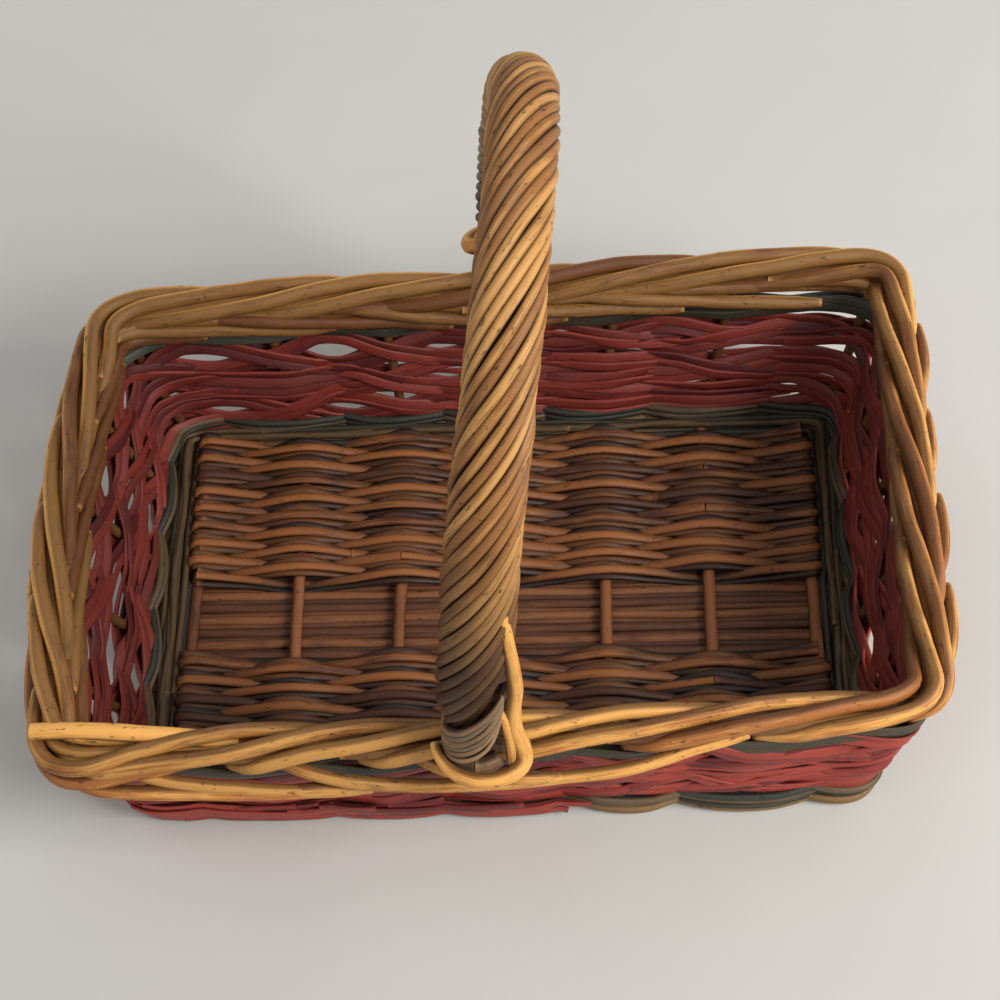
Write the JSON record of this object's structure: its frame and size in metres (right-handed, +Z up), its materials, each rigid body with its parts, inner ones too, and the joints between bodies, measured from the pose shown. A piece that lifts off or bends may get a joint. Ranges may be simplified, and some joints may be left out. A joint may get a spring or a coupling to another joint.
{
  "type": "wicker harvest basket",
  "caption": "Oblong willow harvest basket with a plaited rim, a woven base, bands of dyed weave and a fixed roped handle across its middle.",
  "frame": {"origin": "centre of the basket's outer box on the surface that it stands on", "axes": "+Z up, +X along the basket's length to the right as seen from the front, +Y to the back, along the handle's span"},
  "size_m": [0.4084, 0.2926, 0.3201],
  "materials": {
    "border_willow": "golden peeled willow, satin",
    "handle_willow": "golden willow rods with dark grooves, satin",
    "bow_willow": "brown willow, matt",
    "binding_willow": "greyish brown thin willow, matt",
    "wale_willow": "tan willow, matt",
    "red_willow": "split willow dyed dark red, satin",
    "green_willow": "willow dyed slate green, matt",
    "base_weaver_willow": "brown boiled willow, satin",
    "base_stick_willow": "brown willow, matt"
  },
  "bodies": {
    "root": {"base_slat_1": "base_stick_willow", "base_slat_2": "base_stick_willow", "base_slat_3": "base_stick_willow", "base_slat_4": "base_stick_willow", "base_slat_5": "base_stick_willow", "base_slat_6": "base_stick_willow", "base_stick_1": "base_stick_willow", "base_stick_2": "base_stick_willow", "base_stick_3": "base_stick_willow", "base_stick_4": "base_stick_willow", "base_stick_5": "base_stick_willow", "base_stick_6": "base_stick_willow", "base_stick_7": "base_stick_willow", "base_weaver_back": "base_weaver_willow", "base_weaver_front": "base_weaver_willow", "corner_post_back_left": "border_willow", "corner_post_back_right": "border_willow", "corner_post_front_left": "border_willow", "corner_post_front_right": "border_willow", "foot_binding_back": "binding_willow", "foot_binding_front": "binding_willow", "foot_loop_back": "handle_willow", "foot_loop_front": "handle_willow", "foot_wale_a": "wale_willow", "foot_wale_b": "wale_willow", "handle_bow": "bow_willow", "handle_wrap_1": "handle_willow", "handle_wrap_2": "handle_willow", "handle_wrap_3": "handle_willow", "handle_wrap_4": "handle_willow", "lower_green_a": "green_willow", "lower_green_b": "green_willow", "red_weaver_1a": "red_willow", "red_weaver_1b": "red_willow", "red_weaver_2a": "red_willow", "red_weaver_2b": "red_willow", "red_weaver_3a": "red_willow", "red_weaver_3b": "red_willow", "stake_01": "border_willow", "stake_02": "border_willow", "stake_03": "border_willow", "stake_04": "border_willow", "stake_05": "border_willow", "stake_07": "border_willow", "stake_08": "border_willow", "stake_09": "border_willow", "stake_10": "border_willow", "stake_12": "border_willow", "stake_13": "border_willow", "stake_14": "border_willow", "stake_15": "border_willow", "stake_16": "border_willow", "stake_18": "border_willow", "stake_19": "border_willow", "stake_20": "border_willow", "stake_21": "border_willow", "upper_green_a": "green_willow", "upper_green_b": "green_willow"}
  },
  "joints": []
}
